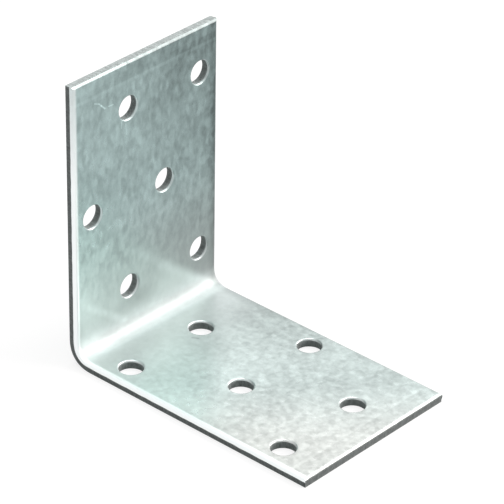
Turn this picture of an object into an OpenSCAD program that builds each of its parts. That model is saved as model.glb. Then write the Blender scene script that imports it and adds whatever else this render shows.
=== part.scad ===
// Pressed steel angle bracket: a perforated strip, sheared to length and folded once.
// The inside of the fold is the punch side, so its edges are rolled over and the outside edges are torn.
// Frame: +X along the flat leg, +Y across the strip, +Z up the upright leg, origin under the middle of the flat leg.

/* [Sheet] */
// Thickness of the sheet
sheet_t = 2; // [1.5:0.1:3]
// Width of the strip
strip_w = 40; // [40:1:100]

/* [Legs] */
// Height of the upright leg, from the underside to its tip
upright_h = 62; // [50:1:120]
// Length of the flat leg, from the back face to its tip
flat_l = 62; // [50:1:120]

/* [Fold] */
// Radius on the inside of the fold
fold_r = 2.5; // [1.5:0.1:4]

/* [Holes] */
// Diameter of a hole at its smooth land
hole_d = 5; // [4:0.1:6.5]
// Spacing of the holes in one row, across the strip
hole_pitch = 20; // [16:0.5:30]
// Spacing of the rows, along the strip
row_pitch = 20; // [12:0.5:30]
// Distance from a leg's tip to the centre of its first row
tip_margin = 10; // [6:0.5:16]
// Distance from the strip's side to the centre of the nearest hole
side_margin = 5; // [4.5:0.5:12]

/* [Sheared edges] */
// How far in from the cut the corner starts to roll over, along the sides and tips
edge_roll_w = 0.75; // [0.55:0.05:0.9]
// Depth at which that rolled corner meets the cut
edge_roll_d = 0.5; // [0.2:0.05:0.55]
// Depth at which the smooth land of the cut ends and its torn part starts
edge_land_d = 0.8; // [0.65:0.05:1.2]
// How far the torn part leans back from the land
edge_lean = 0.12; // [0.05:0.01:0.25]

/* [Punched rims] */
// How far out from a hole its corner starts to roll over
rim_roll_w = 0.35; // [0.25:0.05:0.6]
// Depth at which that rolled corner meets the hole
rim_roll_d = 0.2; // [0.1:0.05:0.25]
// Depth at which the smooth land of the hole ends and its torn part starts
rim_land_d = 0.65; // [0.5:0.05:1]
// How much wider than the land the hole breaks out of the outside face, on each side
break_out = 0.2; // [0.05:0.05:0.3]

/* [Hidden] */
$fn = 96;
// Overlap that lets a cutting shape run clear past the face that it cuts
past = 1;
hole_r = hole_d / 2;
// Distance from an outside face to the axis of the fold
fold_end = fold_r + sheet_t;
// Nearest that a hole's centre comes to the start of the fold
fold_margin = hole_r + rim_roll_w + 0.5;

// Rows that fit on a leg of this length, counted from its tip towards the fold
function row_count(leg) = floor((leg - tip_margin - fold_end - fold_margin) / row_pitch) + 1;

// Places across the strip of the holes in one row, shifted by half a pitch in every second row
function row_places(shifted) =
    [for (y = side_margin + (shifted ? hole_pitch / 2 : 0); y <= strip_w - side_margin; y = y + hole_pitch)
        y - strip_w / 2];

// What a cut takes from a sheet whose inside face is the line y = 0, whose outside face is y = -sheet_t
// and which lies at x > 0: a corner rolled over in an arc that is tangent to the face, and below the
// land a torn part that leans back.
module cut_waste(roll_w, roll_d, land_d, lean) {
    roll_r = (roll_w * roll_w + roll_d * roll_d) / (2 * roll_d);
    difference() {
        translate([-past, -roll_d]) square([past + roll_w, roll_d + past]);
        translate([roll_w, -roll_r]) circle(r = roll_r);
    }
    polygon([
        [-past, -land_d],
        [0, -land_d],
        [lean, -sheet_t],
        [lean, -sheet_t - past],
        [-past, -sheet_t - past]
    ]);
}

// The same, as the shear leaves it along the sides and tips
module sheared() {
    cut_waste(edge_roll_w, edge_roll_d, edge_land_d, edge_lean);
}

// The same, as the punch leaves it round a hole
module punched() {
    cut_waste(rim_roll_w, rim_roll_d, rim_land_d, break_out);
}

// Section of the strip: x across its width, y down from the inside face
module strip_section() {
    difference() {
        translate([-strip_w / 2, -sheet_t]) square([strip_w, sheet_t]);
        for (side = [0, 1]) mirror([side, 0]) translate([-strip_w / 2, 0]) sheared();
    }
}

// Straight stretch of the strip: starts at the origin and runs along +X with its outside face on z = 0
module straight(length) {
    rotate([90, 0, 90]) linear_extrude(height = length) translate([0, sheet_t]) strip_section();
}

// Quarter turn of the strip about the Y axis, from straight down to straight back
module fold() {
    rotate([-90, 90, 0]) rotate_extrude(angle = 90) translate([fold_r, 0]) rotate(90) strip_section();
}

// Shear at a tip: takes the edge of a stretch that ends at the origin and comes from -X
module tip_cut() {
    rotate([90, 0, 0]) linear_extrude(height = strip_w + 2 * past, center = true)
        translate([0, sheet_t]) mirror([1, 0]) sheared();
}

// Punch through the sheet from its inside face at z = sheet_t
module punch() {
    translate([0, 0, -past]) cylinder(h = sheet_t + 2 * past, r = hole_r);
    translate([0, 0, sheet_t]) rotate_extrude() intersection() {
        translate([hole_r, 0]) punched();
        translate([0, -sheet_t - past]) square([hole_r + past, sheet_t + 2 * past]);
    }
}

// All the cuts of one leg that runs along +X from the outside corner
module leg_cuts(leg, first_shifted) {
    translate([leg, 0, 0]) tip_cut();
    for (row = [0 : row_count(leg) - 1])
        for (y = row_places((row % 2 == 1) != first_shifted))
            translate([leg - tip_margin - row * row_pitch, y, 0]) punch();
}

// Stands a leg that was laid along +X upright, with its outside face on x = 0
module stand_up() {
    mirror([1, 0, -1]) children();
}

module bracket() {
    color("#a9b7b5") translate([-flat_l / 2, 0, 0]) difference() {
        union() {
            translate([fold_end, 0, 0]) straight(flat_l - fold_end);
            stand_up() translate([fold_end, 0, 0]) straight(upright_h - fold_end);
            translate([fold_end, 0, fold_end]) fold();
        }
        leg_cuts(flat_l, false);
        stand_up() leg_cuts(upright_h, true);
    }
}

bracket();
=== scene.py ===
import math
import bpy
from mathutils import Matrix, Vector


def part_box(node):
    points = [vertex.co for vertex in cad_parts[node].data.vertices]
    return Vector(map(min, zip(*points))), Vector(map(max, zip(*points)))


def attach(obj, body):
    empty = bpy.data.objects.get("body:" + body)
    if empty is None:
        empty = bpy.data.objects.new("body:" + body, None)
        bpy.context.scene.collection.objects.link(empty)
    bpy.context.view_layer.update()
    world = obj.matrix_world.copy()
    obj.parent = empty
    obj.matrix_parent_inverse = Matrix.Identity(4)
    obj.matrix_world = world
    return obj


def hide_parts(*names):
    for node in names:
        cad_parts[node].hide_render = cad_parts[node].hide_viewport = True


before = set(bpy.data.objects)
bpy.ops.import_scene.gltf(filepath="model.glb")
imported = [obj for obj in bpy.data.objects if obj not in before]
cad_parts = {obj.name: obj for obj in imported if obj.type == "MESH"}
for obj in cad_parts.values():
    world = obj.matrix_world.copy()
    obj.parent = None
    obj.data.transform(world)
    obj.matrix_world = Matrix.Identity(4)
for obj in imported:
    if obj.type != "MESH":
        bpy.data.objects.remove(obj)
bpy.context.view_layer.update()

# A pressed angle bracket of pre-galvanised steel sheet, standing on its flat leg. The sheet is worked
# out flat, as a strip with u along it, v across it and a depth below its inside face, and is then
# carried round the fold.
from types import SimpleNamespace

import bpy
import numpy as np
from mathutils import Matrix

MM = 0.001

# Sizes of the sheet, in millimetres. Its outline comes from the bracket in model.glb.
SHEET_T = 2.0
FOLD_R = 2.5
# Length of each leg over which the fold's curvature fades out
FOLD_FADE = 2.0
HOLE_R = 2.5
PITCH = 20.0
TIP_MARGIN = 10.0
SIDE_MARGIN = 5.0
ROWS = 3

# A cut through the sheet: width and depth of its rolled corner, depth at which its smooth land ends,
# and how far its torn part leans back
SHEARED = {"roll_w": 0.75, "roll_d": 0.5, "land_d": 0.8, "lean": 0.12}
PUNCHED = {"roll_w": 0.35, "roll_d": 0.2, "land_d": 0.65, "lean": 0.2}
# How far the border of the torn part wanders, how deep its hollows are, and how far along the cut
# they slant from that border to the outside face
TEAR_WANDER = 0.07
TEAR_HOLLOW = 0.05
TEAR_SLANT = 7.0
# The shortest and the longest waves of that border and of those hollows, and how many add up
BORDER_WAVES = (1.5, 9.0, 6)
HOLLOW_WAVES = (0.8, 3.0, 5)
# Seeds of the random draws of the edge's cut, and of the holes nearest to either side
EDGE_SEED = 1
HOLE_SEEDS = (10, 20)

low, high = (np.round(np.array(corner) / MM, 3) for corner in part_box("bracket"))
STRIP_W = high[1] - low[1]
FLAT_L = high[0] - low[0]
UPRIGHT_H = high[2] - low[2]
FOLD_REACH = FOLD_R + FOLD_FADE
FLAT_RUN = FLAT_L - SHEET_T - FOLD_REACH
UPRIGHT_RUN = UPRIGHT_H - SHEET_T - FOLD_REACH
FOLD_RUN = FOLD_R * math.pi / 2 + 2 * FOLD_FADE
STRIP_L = FLAT_RUN + FOLD_RUN + UPRIGHT_RUN

# Fineness of the mesh, in millimetres and in steps
GRID = 0.5
FACE_RINGS = 8
# Power that crowds those rings towards the hole
RING_CROWDING = 1.5
FOLD_STEPS = 40
CURVE_STEPS = 400
ROLL_STEPS = 6
LAND_STEPS = 2
TEAR_STEPS = 6
# Steps of a cut that keep their zinc, counted from the inside face: part of the rolled corner at the
# tips, a little of the land too in the holes, and all of the land along the sides
TIP_ZINC = 5
HOLE_ZINC = ROLL_STEPS + 1
SIDE_ZINC = ROLL_STEPS + LAND_STEPS
# Decimals of a millimetre to which points that meet agree
MEET_DECIMALS = 6
# Turn between two faces, in degrees, past which the edge between them shades sharp
SHARP_TURN = 20

# The view of the photograph: its angles, its aim and distance in metres, its lens and sensor in
# millimetres, and the nearest distance that shows, in metres
CAM_AZIMUTH = math.radians(41.94)
CAM_ELEVATION = math.radians(31.13)
CAM_ROLL = math.radians(0.90)
CAM_AIM = np.array([-4.02, 3.15, 26.66]) * MM
CAM_DISTANCE = 634.9 * MM
CAM_LENS = 235.6
CAM_SENSOR = 36.0
CAM_NEAREST = 0.05

# Soft lamps: name, place and size in metres, how bright each looks, where 1 is a white card in plain
# light, and its tint; and the point on the bracket that all of them face
LAMPS = [
    ("key_softbox", (0.69, 0.98, 0.63), (1.2, 1.25), 3.6, (1.0, 0.93, 0.91)),
    ("back_softbox", (0.0, 0.95, 1.05), (0.9, 0.8), 1.7, (1, 1, 1)),
    ("left_softbox", (-0.80, 0.89, 0.76), (1.0, 1.0), 0.85, (1, 1, 1)),
    ("top_softbox", (0.1, 0.0, 1.3), (0.8, 0.8), 3.8, (1, 1, 1)),
]
LAMP_AIM = (0, 0, 0.02)
# Even light of the surroundings, and what the floor adds to its own colour to look near white
EVEN_LIGHT = 0.2
FLOOR_GLOW = 0.78
# Half the floor's width, and how far it lies under the bracket so that the two faces don't coincide
FLOOR_REACH = 3.0
FLOOR_GAP = 0.02 * MM


def quarter_turn(share):
    """How far the sheet has turned at this share of the fold. The curvature swells and dies away as
    one wave of a cosine, as it does in sheet that was pressed over a bar, so the turn is a quarter
    circle times (share - sin(2 pi share) / 2 pi)."""
    return math.pi / 2 * (share - np.sin(2 * math.pi * share) / (2 * math.pi))


def fold(u, v, depth):
    """Place on the folded sheet: u runs up the flat leg from its tip, round the fold and up the
    upright leg; depth is measured square to the sheet, from the inside face outwards. The inside line
    of the fold is the running sum of steps in the direction of the turn, scaled to meet both legs."""
    share = np.clip((u - FLAT_RUN) / FOLD_RUN, 0, 1)
    marks = np.linspace(0, 1, CURVE_STEPS + 1)
    middles = quarter_turn((marks[1:] + marks[:-1]) / 2)
    back = np.concatenate([[0], np.cumsum(np.cos(middles))])
    rise = np.concatenate([[0], np.cumsum(np.sin(middles))])
    back = FOLD_REACH * np.interp(share, marks, back / back[-1])
    rise = FOLD_REACH * np.interp(share, marks, rise / rise[-1])
    turn = quarter_turn(share)
    before = np.maximum(FLAT_RUN - u, 0)
    after = np.maximum(u - FLAT_RUN - FOLD_RUN, 0)
    x = low[0] + SHEET_T + FOLD_REACH + before - back - depth * np.sin(turn)
    z = low[2] + SHEET_T + rise + after - depth * np.cos(turn)
    return np.stack([x, v, z], axis=-1) * MM


def waves(t, period, shortest, longest, count, seed):
    """Smooth uneven line: the mean of cosines whose wavelengths lie between two sizes and fit the
    period, so that the line closes on itself."""
    rng = np.random.default_rng(seed)
    whole = np.round(period / rng.uniform(shortest, longest, count))
    phase = rng.uniform(0, 2 * math.pi, count)
    return np.cos(2 * math.pi * whole * t[..., None] / period + phase).mean(axis=-1)


def cut_profile(cut, t, period, seed):
    """Section of a cut at each place t along it, as rows of inset and depth. The corner is an arc that
    is tangent to the face, with the radius (w * w + d * d) / 2d of its width w and depth d. The land
    runs straight down from it. The torn part leans back to the outside face, with hollows that die
    away at both its ends, and its upper border wanders up and down."""
    w, d = cut["roll_w"], cut["roll_d"]
    radius = (w * w + d * d) / (2 * d)
    turn = np.linspace(0, math.asin(w / radius), ROLL_STEPS + 1)[:, None]
    border = cut["land_d"] + TEAR_WANDER * waves(t, period, *BORDER_WAVES, seed)
    land = d + (border - d) * np.linspace(0, 1, LAND_STEPS + 1)[1:, None]
    s = np.linspace(0, 1, TEAR_STEPS + 1)[1:, None]
    hollows = 0.5 + 0.5 * waves(t + TEAR_SLANT * s, period, *HOLLOW_WAVES, seed + 1)
    torn_inset = cut["lean"] * s + TEAR_HOLLOW * hollows * np.sin(math.pi * s)
    torn_depth = border + (SHEET_T - border) * s
    inset = np.concatenate([(w - radius * np.sin(turn)) + 0 * t, 0 * land, torn_inset])
    depth = np.concatenate([(radius - radius * np.cos(turn)) + 0 * t, land, torn_depth])
    return inset, depth


class Sheet:
    """Gathers grids of points on the sheet, each with the finish of its faces."""

    def __init__(self):
        self.places = []
        self.faces = []
        self.finishes = []
        self.count = 0

    def add(self, u, v, depth, finish, flip=False):
        """Adds a grid, given as arrays of u, v and depth; finish is one number, or an array that
        spreads over the rows and columns of faces."""
        grid = np.stack(np.broadcast_arrays(u, v, depth), axis=-1)
        rows, columns = grid.shape[:2]
        index = np.arange(rows * columns).reshape(rows, columns) + self.count
        quads = np.stack([index[:-1, :-1], index[:-1, 1:], index[1:, 1:], index[1:, :-1]], axis=-1)
        if flip:
            quads = quads[..., ::-1]
        self.places.append(grid.reshape(-1, 3))
        self.faces.append(quads.reshape(-1, 4))
        each = np.broadcast_to(finish, (rows - 1, columns - 1))
        self.finishes.append(each.reshape(-1))
        self.count += rows * columns


ZINC, TORN = 0, 1


def cut_finish(zinc_steps):
    """Finish of a cut's faces, row by row: zinc over this many steps, and then bare steel."""
    return np.where(np.arange(ROLL_STEPS + LAND_STEPS + TEAR_STEPS)[:, None] < zinc_steps, ZINC, TORN)


def inset(u, v, by):
    """Moves a point of the full strip to the strip that is smaller by the same amount all round."""
    return by + u * (STRIP_L - 2 * by) / STRIP_L, v * (STRIP_W - 2 * by) / STRIP_W


def steps(start, stop):
    """Places from start to stop, one grid step apart."""
    return np.linspace(start, stop, round((stop - start) / GRID) + 1)


def round_trip(along, across):
    """Points round a rectangle, closed, from the places on its long and on its short sides."""
    u = np.concatenate([along[:-1], np.full(len(across) - 1, along[-1]), along[:0:-1],
                        np.full(len(across), along[0])])
    v = np.concatenate([np.full(len(along) - 1, across[0]), across[:-1],
                        np.full(len(along) - 1, across[-1]), across[::-1]])
    return u, v


def hole_cell(sheet, cell, hole_u, hole_v, seed):
    """A rectangle of sheet round one hole: on both faces a grid that blends from the hole's rim to
    the rectangle, and between them the hole's wall, which is the punch's cut carried round."""
    u, v = round_trip(steps(*cell[:2]), steps(*cell[2:]))
    turn = np.arctan2(v - hole_v, u - hole_u)
    wall_inset, wall_depth = cut_profile(PUNCHED, turn * HOLE_R, 2 * math.pi * HOLE_R, seed)
    radius = HOLE_R + wall_inset
    wall_u, wall_v = hole_u + radius * np.cos(turn), hole_v + radius * np.sin(turn)
    sheet.add(wall_u, wall_v, wall_depth, cut_finish(HOLE_ZINC), flip=True)
    s = np.linspace(0, 1, FACE_RINGS + 1)[:, None] ** RING_CROWDING
    inside = (radius[0], SHEARED["roll_w"], 0.0)
    outside = (radius[-1], SHEARED["lean"], SHEET_T)
    for rim, edge, depth in (inside, outside):
        rim_u, rim_v = hole_u + rim * np.cos(turn), hole_v + rim * np.sin(turn)
        edge_u, edge_v = inset(u, v, edge)
        face_u, face_v = rim_u + s * (edge_u - rim_u), rim_v + s * (edge_v - rim_v)
        sheet.add(face_u, face_v, depth, ZINC, flip=depth > 0)


def leg_cells(sheet, tip, direction, run, first_shifted):
    """The cells of one leg, from its tip towards the fold; every second row is shifted by half a
    pitch."""
    for row in range(ROWS):
        shifted = (row % 2 == 1) != first_shifted
        near = PITCH * row
        far = run if row == ROWS - 1 else PITCH * (row + 1)
        ends = sorted((tip + direction * near, tip + direction * far))
        first = -STRIP_W / 2 + SIDE_MARGIN + (PITCH / 2 if shifted else 0)
        split = first + PITCH / 2
        hole_u = tip + direction * (near + TIP_MARGIN)
        hole_cell(sheet, (*ends, -STRIP_W / 2, split), hole_u, first, HOLE_SEEDS[0] + row)
        hole_cell(sheet, (*ends, split, STRIP_W / 2), hole_u, first + PITCH, HOLE_SEEDS[1] + row)


def fold_faces(sheet):
    """The two faces of the quarter turn, as plain grids."""
    turn = np.linspace(FLAT_RUN, FLAT_RUN + FOLD_RUN, FOLD_STEPS + 1)
    u, v = np.meshgrid(turn, steps(-STRIP_W / 2, STRIP_W / 2), indexing="ij")
    for edge, depth in ((SHEARED["roll_w"], 0.0), (SHEARED["lean"], SHEET_T)):
        sheet.add(*inset(u, v, edge), depth, ZINC, flip=depth > 0)


def sheared_edge(sheet):
    """The cut all round the strip: its section carried along the sides and tips. The slitting rolls
    smeared zinc over the land of the sides; the shear left bare steel on that of the tips."""
    turn = np.linspace(FLAT_RUN, FLAT_RUN + FOLD_RUN, FOLD_STEPS + 1)
    along = np.concatenate([steps(0, FLAT_RUN)[:-1], turn, steps(FLAT_RUN + FOLD_RUN, STRIP_L)[1:]])
    u, v = round_trip(along, steps(-STRIP_W / 2, STRIP_W / 2))
    pace = np.hypot(np.diff(u), np.diff(v))
    t = np.concatenate([[0], np.cumsum(pace)])
    edge_inset, depth = cut_profile(SHEARED, t, t[-1], EDGE_SEED)
    at_tip = u[:-1] == u[1:]
    sheet.add(*inset(u, v, edge_inset), depth, cut_finish(np.where(at_tip, TIP_ZINC, SIDE_ZINC)))


def pressed_sheet():
    """The whole bracket as one closed mesh. Points that meet along the borders of the grids become
    one, and the flat strip's places stay on it as an attribute that the finishes follow."""
    sheet = Sheet()
    leg_cells(sheet, 0.0, 1, FLAT_RUN, False)
    leg_cells(sheet, STRIP_L, -1, UPRIGHT_RUN, True)
    fold_faces(sheet)
    sheared_edge(sheet)
    places = np.concatenate(sheet.places)
    faces = np.concatenate(sheet.faces)
    finishes = np.concatenate(sheet.finishes)
    meeting = places.round(MEET_DECIMALS)
    _, kept, merged = np.unique(meeting, axis=0, return_index=True, return_inverse=True)
    places, faces = places[kept], merged.reshape(-1)[faces]
    mesh = bpy.data.meshes.new("pressed_sheet")
    mesh.from_pydata(fold(*places.T), [], faces.tolist())
    mesh.polygons.foreach_set("material_index", finishes.astype(np.int32))
    mesh.polygons.foreach_set("use_smooth", np.ones(len(faces), bool))
    strip = mesh.attributes.new("strip", "FLOAT_VECTOR", "POINT")
    strip.data.foreach_set("vector", (places * MM).astype(np.float32).ravel())
    mesh.update()
    mesh.set_sharp_from_angle(angle=math.radians(SHARP_TURN))
    bracket = bpy.data.objects.new("pressed_sheet", mesh)
    bpy.context.scene.collection.objects.link(bracket)
    shading = bracket.modifiers.new("flat_faces_shade_flat", "WEIGHTED_NORMAL")
    shading.keep_sharp = True
    return bracket


def linear(hex_colour):
    """sRGB hex to linear RGBA"""
    parts = [int(hex_colour[i:i + 2], 16) / 255 for i in (1, 3, 5)]
    return [c / 12.92 if c <= 0.04045 else ((c + 0.055) / 1.055) ** 2.4 for c in parts] + [1.0]


def node_tree(owner):
    """Empty node tree of a material or of the world"""
    owner.use_nodes = True
    owner.node_tree.nodes.clear()
    return owner.node_tree


def node(tree, kind, inputs=None, **settings):
    """Adds one node with its settings and links; an input is a value, a node or a node's output."""
    made = tree.nodes.new("ShaderNode" + kind)
    for name, value in settings.items():
        setattr(made, name, value)
    for name, value in (inputs or {}).items():
        if isinstance(value, bpy.types.Node):
            value = value.outputs[0]
        if isinstance(value, bpy.types.NodeSocket):
            tree.links.new(value, made.inputs[name])
        else:
            made.inputs[name].default_value = value
    return made


def per(size):
    """Texture scale at which a feature has this size in millimetres"""
    return 1 / (size * MM)


# Light scratches and dark smudges on the inside face, and wide soft bands, most of them painted light,
# painted shade and a painted reflection on the upright leg by the fold; in millimetres along and
# across the strip: where they start, where they end, how far they reach to either side, and how much
# paler or darker they are
MARKS_AND_PAINTED_BANDS = [
    ((113.4, -14.2), (112.9, -13.0), 0.24, 0.42),
    ((112.9, -13.0), (112.2, -12.3), 0.22, 0.42),
    ((112.3, -12.4), (111.3, -11.4), 0.28, 0.70),
    ((111.4, -10.4), (111.3, -9.2), 0.24, 0.48),
    ((106.7, -6.9), (105.3, -7.0), 0.28, 0.35),
    ((105.7, -5.8), (103.5, -5.6), 0.28, 0.22),
    ((103.0, -15.0), (99.5, -14.4), 0.35, 0.12),
    ((20.8, -0.4), (14.4, 0.3), 0.30, 0.12),
    ((22.2, -1.4), (19.9, -1.0), 0.26, -0.10),
    ((16.5, -2.6), (9.5, -3.4), 0.30, 0.08),
    ((19.9, 6.3), (19.7, 6.9), 0.45, 0.22),
    ((18.9, 10.1), (18.7, 10.7), 0.40, 0.18),
    ((25.1, 4.3), (24.8, 4.8), 0.40, 0.15),
    ((24.9, 8.5), (24.5, 8.9), 0.40, 0.15),
    ((22.9, 3.1), (22.6, 3.5), 0.35, -0.18),
    ((48.7, 1.1), (47.7, 1.7), 0.40, -0.30),
    # The wide soft bands from here on: on the upright leg and in the fold they are painted light,
    # painted shade and a painted reflection of the flat leg's far edge; the two that start at 4.0 and
    # 35.0 along are paler patches on the flat leg
    ((68.8, -16.2), (61.8, -6.6), 1.40, 0.16),
    ((77.0, -4.5), (60.2, 17.1), 1.60, 0.12),
    ((69.5, 4.0), (60.2, 17.1), 2.20, 0.20),
    ((64.8, -7.0), (65.8, 0.0), 3.20, -0.12),
    ((60.5, -18.0), (58.0, -12.0), 3.00, 0.12),
    ((70.0, -18.5), (61.5, -15.5), 5.50, 0.18),
    ((65.5, 5.5), (61.0, 13.5), 3.60, 0.16),
    ((4.0, 17.0), (6.0, 9.0), 7.00, 0.08),
    ((76.0, -17.0), (63.0, 2.0), 9.00, 0.08),
    ((35.0, -15.5), (26.5, -15.0), 6.00, 0.20),
]

# Colours of the zinc: on the flat leg; towards the top of the upright leg, a deeper blue-green that is
# painted shade; worn by handling; strained by the press, paler partly as painted light; and polished
# by its tools, white partly as a painted highlight; and those of the torn steel and of the floor
ZINC_GREY = "#9EA8A6"
UPPER_SHADE_GREY = "#98ABAA"
WORN_GREY = "#ADB0AD"
STRAINED_AND_PAINTED_LIGHT_GREY = "#AFB7B6"
POLISHED_AND_HIGHLIGHT_WHITE = "#F4F8F8"
STEEL_GREY = "#A3ABAA"
FLOOR_GREY = "#8F8F8F"
# Share by which the mottle is stretched along the upright leg
UPRIGHT_STRETCH = 0.4
# Distances from a tip, in millimetres: to the hold-down's pale line, to the middle of the dull band
# outside it, and half that band's width
LINE_AT = 4.1
BAND_AT = 3.1
BAND_HALF = 0.7
# Weight of along against across at the far corner's painted shade, and of across against along at the
# top corner's
FAR_SLANT = 0.4
TOP_SLANT = 1.5
# Place along the strip, in millimetres, round which the flat leg's two sides are painted lighter and
# darker
SIDES_DIFFER_AT = 40
# How many times as far the press's strain, paler partly as painted light, reaches into the flat leg as
# into the upright one
STRAIN_RATIO = 3

# How much paler or darker each of these makes the zinc, as a share of its colour. The worn corner, the
# hold-down's line and its dull band are the zinc's own; the corners, the far side, the sides by the
# fold and the rolled tips are painted light and shade, and the bent zinc and the middle of the fold a
# painted highlight and painted shade
PALER_AT = {
    "worn_corner": 0.06,
    "hold_down_line": 0.08,
    "dull_band": -0.05,
    "painted_shade_far_corner": -0.22,
    "painted_shade_top_corner": -0.16,
    "painted_shade_far_side": -0.38,
    "painted_light_near_side_by_the_fold": 0.24,
    "painted_shade_far_side_by_the_fold": -0.12,
    "painted_shade_rolled_tip": -0.3,
    "painted_highlight_bent_zinc": 0.26,
    "painted_shade_middle_of_the_fold": -0.30,
}
# Least tone of the zinc, whatever adds up
LEAST_TONE = 0.3
# Depth that parts the inside of the sheet from its outside, in millimetres: below the land of each cut
INSIDE_DEPTH = 1.4
# Roughness of the zinc: at its roughest and smoothest crystals, by the fold, on a polished corner,
# and what the fine cracks of the fold add
ROUGHNESS = {"roughest": 0.36, "smoothest": 0.26, "by_the_fold": 0.4, "polished": 0.38, "cracks": 0.16}


def sheet_places(tree):
    """Where a point lies on the flat strip: its place and its parts along, across and depth, its
    distances from the upright leg's tip, from the nearest tip and from the middle of the fold, how
    far it is past that middle, and whether it is on the inside, above the torn part of a cut."""
    strip = node(tree, "Attribute", attribute_name="strip").outputs["Vector"]
    along, across, depth = node(tree, "SeparateXYZ", {"Vector": strip}).outputs
    to_top = node(tree, "Math", {0: STRIP_L * MM, 1: along}, operation="SUBTRACT")
    fold_middle = FLAT_RUN + FOLD_RUN / 2
    past_fold = node(tree, "Math", {0: along, 1: fold_middle * MM}, operation="SUBTRACT")
    return SimpleNamespace(
        strip=strip, along=along, across=across, depth=depth, to_top=to_top, past_fold=past_fold,
        tip=node(tree, "Math", {0: along, 1: to_top}, operation="MINIMUM"),
        from_fold=node(tree, "Math", {0: past_fold}, operation="ABSOLUTE"),
        inside=node(tree, "Math", {0: depth, 1: INSIDE_DEPTH * MM}, operation="LESS_THAN"),
    )


def zinc_patterns(tree, at):
    """Mottle, grain and the tone that the crystals give: the weighted sum of clouds, mottle, crystals
    and grain, spread about 1. The clouds are 10 mm across, and the flattened crystals and their
    mottle a little over 1 mm. The grain of the rolls is finer in truth, and is drawn at 0.35 mm so
    that it shows."""
    # On the upright leg the mottle and the crystals are stretched along the strip
    beyond = node(tree, "Math", {0: at.along, 1: (FLAT_RUN + FOLD_RUN) * MM}, operation="SUBTRACT")
    beyond = node(tree, "Math", {0: beyond, 1: 0.0}, operation="MAXIMUM")
    stretched = node(tree, "Math", {0: beyond, 1: -UPRIGHT_STRETCH, 2: at.along},
                     operation="MULTIPLY_ADD")
    drawn_out = node(tree, "CombineXYZ", {"X": stretched, "Y": at.across, "Z": at.depth})
    clouds = node(tree, "TexNoise", {"Vector": at.strip, "Scale": per(10), "Detail": 2.0})
    mottle = node(tree, "TexNoise", {
        "Vector": drawn_out, "Scale": per(1.3), "Detail": 2.0, "Roughness": 0.5, "Distortion": 0.4,
    })
    cells = node(tree, "TexVoronoi", {"Vector": drawn_out, "Scale": per(1.1), "Smoothness": 0.7},
                 feature="SMOOTH_F1")
    crystals = node(tree, "SeparateColor", {"Color": cells.outputs["Color"]})
    grain = node(tree, "TexNoise", {"Vector": at.strip, "Scale": per(0.35), "Detail": 1.0})
    tone = 0.0
    for pattern, weight in ((clouds, 0.28), (mottle, 0.40), (crystals, 0.20), (grain, 0.12)):
        tone = node(tree, "Math", {0: pattern, 1: weight, 2: tone}, operation="MULTIPLY_ADD")
    tone = node(tree, "MapRange", {
        "Value": tone, "From Min": 0.32, "From Max": 0.68, "To Min": 0.76, "To Max": 1.24,
    })
    return mottle, grain, tone


def hold_down_lines(tree, at):
    """What the shear's hold-down left by each tip, as changes of tone: a pale line across the leg, and
    a dull band outside it. Each comes from the distance to its own middle line."""
    line = node(tree, "Math", {0: at.tip, 1: LINE_AT * MM}, operation="SUBTRACT")
    line = node(tree, "Math", {0: line}, operation="ABSOLUTE")
    line = node(tree, "MapRange", {"Value": line, "From Min": 0.6 * MM, "From Max": 0.1 * MM},
                interpolation_type="SMOOTHSTEP")
    band = node(tree, "Math", {0: at.tip, 1: BAND_AT * MM, 2: BAND_HALF * MM}, operation="COMPARE")
    return (line, PALER_AT["hold_down_line"]), (band, PALER_AT["dull_band"])


def painted_shade_corners(tree, at):
    """Painted shade, as changes of tone: darker towards the upper far corner, more so near the top,
    and along the far side there. Both corners are slanting ramps, a weighted sum of along and
    across."""
    painted_shade_far_corner = node(tree, "Math", {0: at.along, 1: FAR_SLANT, 2: at.across},
                      operation="MULTIPLY_ADD")
    painted_shade_far_corner = node(tree, "MapRange", {
        "Value": painted_shade_far_corner, "From Min": 26 * MM, "From Max": 56 * MM,
    }, interpolation_type="SMOOTHSTEP")
    painted_shade_top_corner = node(tree, "Math", {0: at.across, 1: TOP_SLANT, 2: at.along},
                      operation="MULTIPLY_ADD")
    painted_shade_top_corner = node(tree, "MapRange", {
        "Value": painted_shade_top_corner, "From Min": 105 * MM, "From Max": 135 * MM,
    }, interpolation_type="SMOOTHSTEP")
    painted_shade_far_side = node(tree, "MapRange", {
        "Value": at.across, "From Min": (STRIP_W / 2 - 2.8) * MM, "From Max": (STRIP_W / 2 - 0.4) * MM,
        "To Max": PALER_AT["painted_shade_far_side"],
    })
    return ((painted_shade_far_corner, PALER_AT["painted_shade_far_corner"]), (painted_shade_top_corner, PALER_AT["painted_shade_top_corner"]),
            (painted_shade_far_side, painted_shade_far_corner))


def painted_light_beside_the_fold(tree, at):
    """On the flat leg by the fold, painted light and shade: the near side is painted paler and the far
    side darker, by a ramp across the strip that fades out along it."""
    near_fold = node(tree, "Math", {0: at.along, 1: SIDES_DIFFER_AT * MM}, operation="SUBTRACT")
    near_fold = node(tree, "Math", {0: near_fold}, operation="ABSOLUTE")
    near_fold = node(tree, "MapRange", {
        "Value": near_fold, "From Min": 15 * MM, "From Max": 7 * MM,
    }, interpolation_type="SMOOTHSTEP")
    sideways = node(tree, "MapRange", {
        "Value": at.across, "From Min": 15 * MM, "From Max": -4 * MM,
        "To Min": PALER_AT["painted_shade_far_side_by_the_fold"], "To Max": PALER_AT["painted_light_near_side_by_the_fold"],
    })
    return near_fold, sideways


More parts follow.
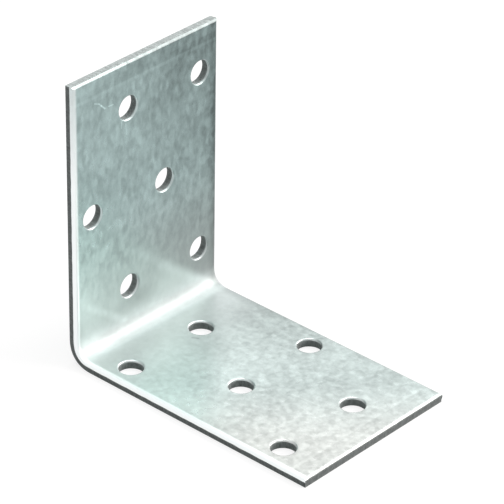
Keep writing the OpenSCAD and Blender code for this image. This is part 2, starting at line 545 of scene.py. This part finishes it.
def mark(tree, at, start, end, reach, change):
    """Change of tone by one mark or painted band: it fades out with the distance from the place on the
    strip to the nearest point of the line between its two ends."""
    start, end = np.array([*start, 0.0]) * MM, np.array([*end, 0.0]) * MM
    way = end - start
    offset = node(tree, "VectorMath", {0: at.strip, 1: start}, operation="SUBTRACT")
    share = node(tree, "VectorMath", {0: offset, 1: way / (way @ way)}, operation="DOT_PRODUCT")
    share = node(tree, "Clamp", {"Value": share.outputs["Value"]})
    nearest = node(tree, "VectorMath", {0: way, "Scale": share}, operation="SCALE")
    gap = node(tree, "VectorMath", {0: offset, 1: nearest}, operation="DISTANCE")
    return node(tree, "MapRange", {
        "Value": gap.outputs["Value"], "From Max": reach * MM, "To Min": change, "To Max": 0.0,
    }, interpolation_type="SMOOTHSTEP")


def polish_and_painted_highlight(tree, at):
    """How far the zinc turns polished white: most along the near side, half as much at the upright
    leg's tip, less on the rims of the holes and least on the tips. The tools polished the rims and
    tips;
    along the near side the white is their polish and a painted highlight"""
    near_most = node(tree, "MapRange", {
        "Value": at.to_top, "From Max": 22 * MM, "To Min": 0.5, "To Max": 1.0,
    })
    near_side = node(tree, "MapRange", {
        "Value": at.across, "From Min": (1.25 - STRIP_W / 2) * MM, "From Max": (0.5 - STRIP_W / 2) * MM,
        "To Max": near_most,
    }, interpolation_type="SMOOTHSTEP")
    rim_most = node(tree, "MapRange", {
        "Value": at.tip, "From Min": 0.6 * MM, "From Max": 0.9 * MM, "To Min": 0.12, "To Max": 0.25,
    })
    rim = node(tree, "MapRange", {
        "Value": at.depth, "From Min": 0.005 * MM, "From Max": 0.06 * MM, "To Max": rim_most,
    }, interpolation_type="SMOOTHSTEP")
    polished = node(tree, "Math", {0: near_side, 1: rim}, operation="MAXIMUM")
    return node(tree, "Math", {0: polished, 1: at.inside}, operation="MULTIPLY")


def galvanised_zinc():
    """Pre-galvanised sheet, rolled matt after its zinc bath: a pale blue-green grey, mottled by
    flattened zinc crystals that are drawn out along the strip. It is paler and duller where the press
    strained it at the fold, paler there partly as painted light; worn paler towards the near corner
    of the flat leg's tip; and polished white where the tools rolled its near side over, white there
    partly as a painted highlight. Painted into its colour are also a highlight on the flanks of the
    fold with shade in its middle, shade towards the upright leg's upper far corner and along its far
    side, light and shade on the flat leg's two sides by the fold, shade on the rolled corners of the
    tips, a deeper blue-green as shade on the upright leg, and the wide bands of painted light, shade
    and reflection."""
    material = bpy.data.materials.new("galvanised_zinc")
    tree = node_tree(material)
    at = sheet_places(tree)
    mottle, grain, tone = zinc_patterns(tree, at)

    # Distance from the fold, counted several times over on the upright leg
    reach = node(tree, "Math", {0: at.past_fold, 1: 0.0}, operation="MAXIMUM")
    reach = node(tree, "Math", {0: reach, 1: STRAIN_RATIO - 1.0, 2: at.from_fold},
                 operation="MULTIPLY_ADD")
    strained_and_painted_light = node(tree, "MapRange", {"Value": reach, "From Min": 18 * MM, "From Max": 3 * MM},
                    interpolation_type="SMOOTHSTEP")
    smoothed = node(tree, "MapRange", {
        "Value": at.from_fold, "From Min": 26 * MM, "From Max": 3 * MM, "To Max": 0.8,
    }, interpolation_type="SMOOTHSTEP")
    # Where the sheet bent its zinc is matt with fine cracks; its colour there is painted paler as a
    # highlight, and painted darker in the middle of the fold as shade
    cracks_and_painted_highlight = node(tree, "MapRange", {"Value": at.from_fold, "From Min": 4.0 * MM, "From Max": 1.6 * MM},
                interpolation_type="SMOOTHSTEP")
    painted_shade_mid_fold = node(tree, "MapRange", {"Value": at.from_fold, "From Min": 2.4 * MM, "From Max": 0.6 * MM},
                  interpolation_type="SMOOTHSTEP")
    worn = node(tree, "Math", {0: at.along, 1: at.across}, operation="ADD")
    worn = node(tree, "MapRange", {"Value": worn, "From Min": 29 * MM, "From Max": -6 * MM},
                interpolation_type="SMOOTHSTEP")
    # Painted shade: the rolled corners of the tips are painted darker on the inside, dimming their
    # highlight
    painted_shade_rolled_tip = node(tree, "MapRange", {
        "Value": at.tip, "From Min": 0.75 * MM, "From Max": 0.45 * MM, "To Max": PALER_AT["painted_shade_rolled_tip"],
    })

    for where, change in ((worn, PALER_AT["worn_corner"]), *hold_down_lines(tree, at)):
        tone = node(tree, "Math", {0: where, 1: change, 2: tone}, operation="MULTIPLY_ADD")
    tone = node(tree, "Mix", {"Factor": smoothed, 2: tone, 3: 1.0})
    # Painted light and shade, as changes of tone: the corners and the far side, the flat leg's sides by
    # the fold, the rolled tips, and the fold's highlight and its darker middle
    changes = (*painted_shade_corners(tree, at), painted_light_beside_the_fold(tree, at), (painted_shade_rolled_tip, at.inside),
               (cracks_and_painted_highlight, PALER_AT["painted_highlight_bent_zinc"]), (painted_shade_mid_fold, PALER_AT["painted_shade_middle_of_the_fold"]))
    for where, change in changes:
        tone = node(tree, "Math", {0: where, 1: change, 2: tone}, operation="MULTIPLY_ADD")
    # Scratches and smudges, and the wide bands of painted light, shade and reflection
    for numbers in MARKS_AND_PAINTED_BANDS:
        tone = node(tree, "Math", {0: tone, 1: mark(tree, at, *numbers)}, operation="ADD")
    tone = node(tree, "Math", {0: tone, 1: LEAST_TONE}, operation="MAXIMUM")

    # Towards the top of the upright leg the zinc turns a deeper blue-green: a painted tint of shade,
    # for the dimmer light on that leg
    upper_shade = node(tree, "MapRange", {"Value": at.along, "From Min": 62 * MM, "From Max": 92 * MM},
                 interpolation_type="SMOOTHSTEP")
    # The tools' polish, and along the near side a painted highlight, whiten the zinc
    polished = polish_and_painted_highlight(tree, at)
    colour = node(tree, "Mix", {"Factor": upper_shade, 6: linear(ZINC_GREY), 7: linear(UPPER_SHADE_GREY)},
                  data_type="RGBA").outputs[2]
    # The strained zinc by the fold is paler, partly as painted light
    for where, shade in ((worn, WORN_GREY), (strained_and_painted_light, STRAINED_AND_PAINTED_LIGHT_GREY)):
        colour = node(tree, "Mix", {"Factor": where, 6: colour, 7: linear(shade)},
                      data_type="RGBA").outputs[2]
    colour = node(tree, "VectorMath", {0: colour, "Scale": tone}, operation="SCALE")
    colour = node(tree, "Mix", {"Factor": polished, 6: colour, 7: linear(POLISHED_AND_HIGHLIGHT_WHITE)},
                  data_type="RGBA")

    roughness = node(tree, "MapRange", {
        "Value": mottle, "From Min": 0.3, "From Max": 0.7,
        "To Min": ROUGHNESS["roughest"], "To Max": ROUGHNESS["smoothest"],
    })
    roughness = node(tree, "Mix", {"Factor": smoothed, 2: roughness, 3: ROUGHNESS["by_the_fold"]})
    roughness = node(tree, "Math", {0: cracks_and_painted_highlight, 1: ROUGHNESS["cracks"], 2: roughness},
                     operation="MULTIPLY_ADD")
    roughness = node(tree, "Mix", {"Factor": polished, 2: roughness, 3: ROUGHNESS["polished"]})
    height = node(tree, "Math", {0: mottle, 1: grain}, operation="ADD")
    bumpy = node(tree, "Math", {0: 1.0, 1: smoothed}, operation="SUBTRACT")
    bump = node(tree, "Bump", {"Height": height, "Strength": bumpy, "Distance": 0.004 * MM})
    bsdf = node(tree, "BsdfPrincipled", {
        "Base Color": colour.outputs[2], "Metallic": 1.0, "Roughness": roughness, "Normal": bump,
    })
    node(tree, "OutputMaterial", {"Surface": bsdf})
    return material


def torn_steel():
    """Broken edge of mild steel: matt grey, with short tears that run through the sheet."""
    material = bpy.data.materials.new("torn_steel")
    tree = node_tree(material)
    strip = node(tree, "Attribute", attribute_name="strip").outputs["Vector"]
    along = node(tree, "SeparateXYZ", {"Vector": strip})
    to_top = node(tree, "Math", {0: STRIP_L * MM, 1: along}, operation="SUBTRACT")
    drawn_down = node(tree, "Mapping", {"Vector": strip, "Scale": (1, 1, 0.35)})
    tears = node(tree, "TexNoise", {
        "Vector": drawn_down, "Scale": per(0.5), "Detail": 4.0, "Roughness": 0.7,
    })
    tone = node(tree, "MapRange", {
        "Value": tears, "From Min": 0.3, "From Max": 0.7, "To Min": 0.7, "To Max": 1.3,
    })
    # Painted shade and light: the flat leg's tip, which faces sideways, is painted darker, and the
    # upright leg's tip, which faces up, is painted paler
    for distance, change in ((along, 0.72), (to_top, 1.2)):
        at_tip = node(tree, "MapRange", {
            "Value": distance, "From Min": 0.6 * MM, "From Max": 0.3 * MM,
            "To Min": 1.0, "To Max": change,
        })
        tone = node(tree, "Math", {0: tone, 1: at_tip}, operation="MULTIPLY")
    colour = node(tree, "VectorMath", {0: linear(STEEL_GREY)[:3], "Scale": tone}, operation="SCALE")
    bump = node(tree, "Bump", {"Height": tears, "Strength": 1.0, "Distance": 0.04 * MM})
    bsdf = node(tree, "BsdfPrincipled", {
        "Base Color": colour, "Roughness": 0.85, "Specular IOR Level": 0.2, "Normal": bump,
    })
    node(tree, "OutputMaterial", {"Surface": bsdf})
    return material


def background_mix(tree, plain, white, output):
    """Light that falls on things comes from plain; the camera, metal and glass see white."""
    path = node(tree, "LightPath")
    seen = node(tree, "Math", {0: path.outputs["Is Camera Ray"], 1: path.outputs["Is Glossy Ray"]},
                operation="MAXIMUM")
    seen = node(tree, "Math", {0: seen, 1: path.outputs["Is Transmission Ray"]}, operation="MAXIMUM")
    mixed = node(tree, "MixShader", {0: seen, 1: plain, 2: white})
    node(tree, output, {"Surface": mixed})


def floor_finish():
    """Plain pale floor: the camera and the metal see it near white, with the bracket's shadow."""
    material = bpy.data.materials.new("floor")
    tree = node_tree(material)
    pale = node(tree, "BsdfDiffuse", {"Color": linear(FLOOR_GREY)})
    shade = node(tree, "BsdfDiffuse", {"Color": linear(FLOOR_GREY)})
    glow = node(tree, "Emission", {"Color": (1, 1, 1, 1), "Strength": FLOOR_GLOW})
    lifted = node(tree, "AddShader", {0: shade, 1: glow})
    background_mix(tree, pale, lifted, "OutputMaterial")
    return material


def look_at(thing, place, aim, roll=0.0):
    """Places a camera or a lamp and points it at aim: back runs from aim to place, right lies level,
    up is square to both, and the roll turns right and up about back."""
    back = np.array(place, float) - np.array(aim, float)
    back /= np.linalg.norm(back)
    right = np.cross([0, 0, 1], back)
    right /= np.linalg.norm(right)
    up = np.cross(back, right)
    c, s = math.cos(roll), math.sin(roll)
    matrix = np.eye(4)
    matrix[:3, :3] = np.stack([c * right + s * up, c * up - s * right, back], axis=1)
    matrix[:3, 3] = place
    thing.matrix_world = Matrix(matrix.tolist())


def softbox(name, place, size, radiance, tint):
    """A rectangular lamp: its power is its radiance times pi times its area."""
    lamp = bpy.data.lights.new(name, "AREA")
    lamp.color = tint
    lamp.shape = "RECTANGLE"
    lamp.size, lamp.size_y = size
    lamp.energy = radiance * math.pi * size[0] * size[1]
    thing = bpy.data.objects.new(name, lamp)
    bpy.context.scene.collection.objects.link(thing)
    look_at(thing, place, LAMP_AIM)


def lay_floor():
    """One square face just under the bracket"""
    reach = FLOOR_REACH
    corners = [(-reach, -reach, 0), (reach, -reach, 0), (reach, reach, 0), (-reach, reach, 0)]
    mesh = bpy.data.meshes.new("floor")
    mesh.from_pydata(corners, [], [(0, 1, 2, 3)])
    mesh.materials.append(floor_finish())
    floor = bpy.data.objects.new("floor", mesh)
    floor.location.z = -FLOOR_GAP
    bpy.context.scene.collection.objects.link(floor)


def surround():
    """Even light all round, which shows as plain white"""
    world = bpy.data.worlds.new("surroundings")
    bpy.context.scene.world = world
    tree = node_tree(world)
    even = node(tree, "Background", {"Color": (1, 1, 1, 1), "Strength": EVEN_LIGHT})
    white = node(tree, "Background", {"Color": (1, 1, 1, 1), "Strength": 1.0})
    background_mix(tree, even, white, "OutputWorld")


def set_camera():
    """The camera of the photograph: it stands back from its aim by its distance, in the direction of
    its azimuth and elevation."""
    camera = bpy.data.objects.new("camera", bpy.data.cameras.new("camera"))
    bpy.context.scene.collection.objects.link(camera)
    camera.data.sensor_width = CAM_SENSOR
    camera.data.lens = CAM_LENS
    camera.data.clip_start = CAM_NEAREST
    back = np.array([
        math.sin(CAM_AZIMUTH) * math.cos(CAM_ELEVATION),
        -math.cos(CAM_AZIMUTH) * math.cos(CAM_ELEVATION),
        math.sin(CAM_ELEVATION),
    ])
    look_at(camera, CAM_AIM + CAM_DISTANCE * back, CAM_AIM, CAM_ROLL)
    bpy.context.scene.camera = camera
    bpy.context.scene.view_settings.view_transform = "Standard"


bracket = pressed_sheet()
for finish in (galvanised_zinc(), torn_steel()):
    bracket.data.materials.append(finish)
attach(bracket, "root")
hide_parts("bracket")

lay_floor()
for lamp_numbers in LAMPS:
    softbox(*lamp_numbers)
surround()
set_camera()
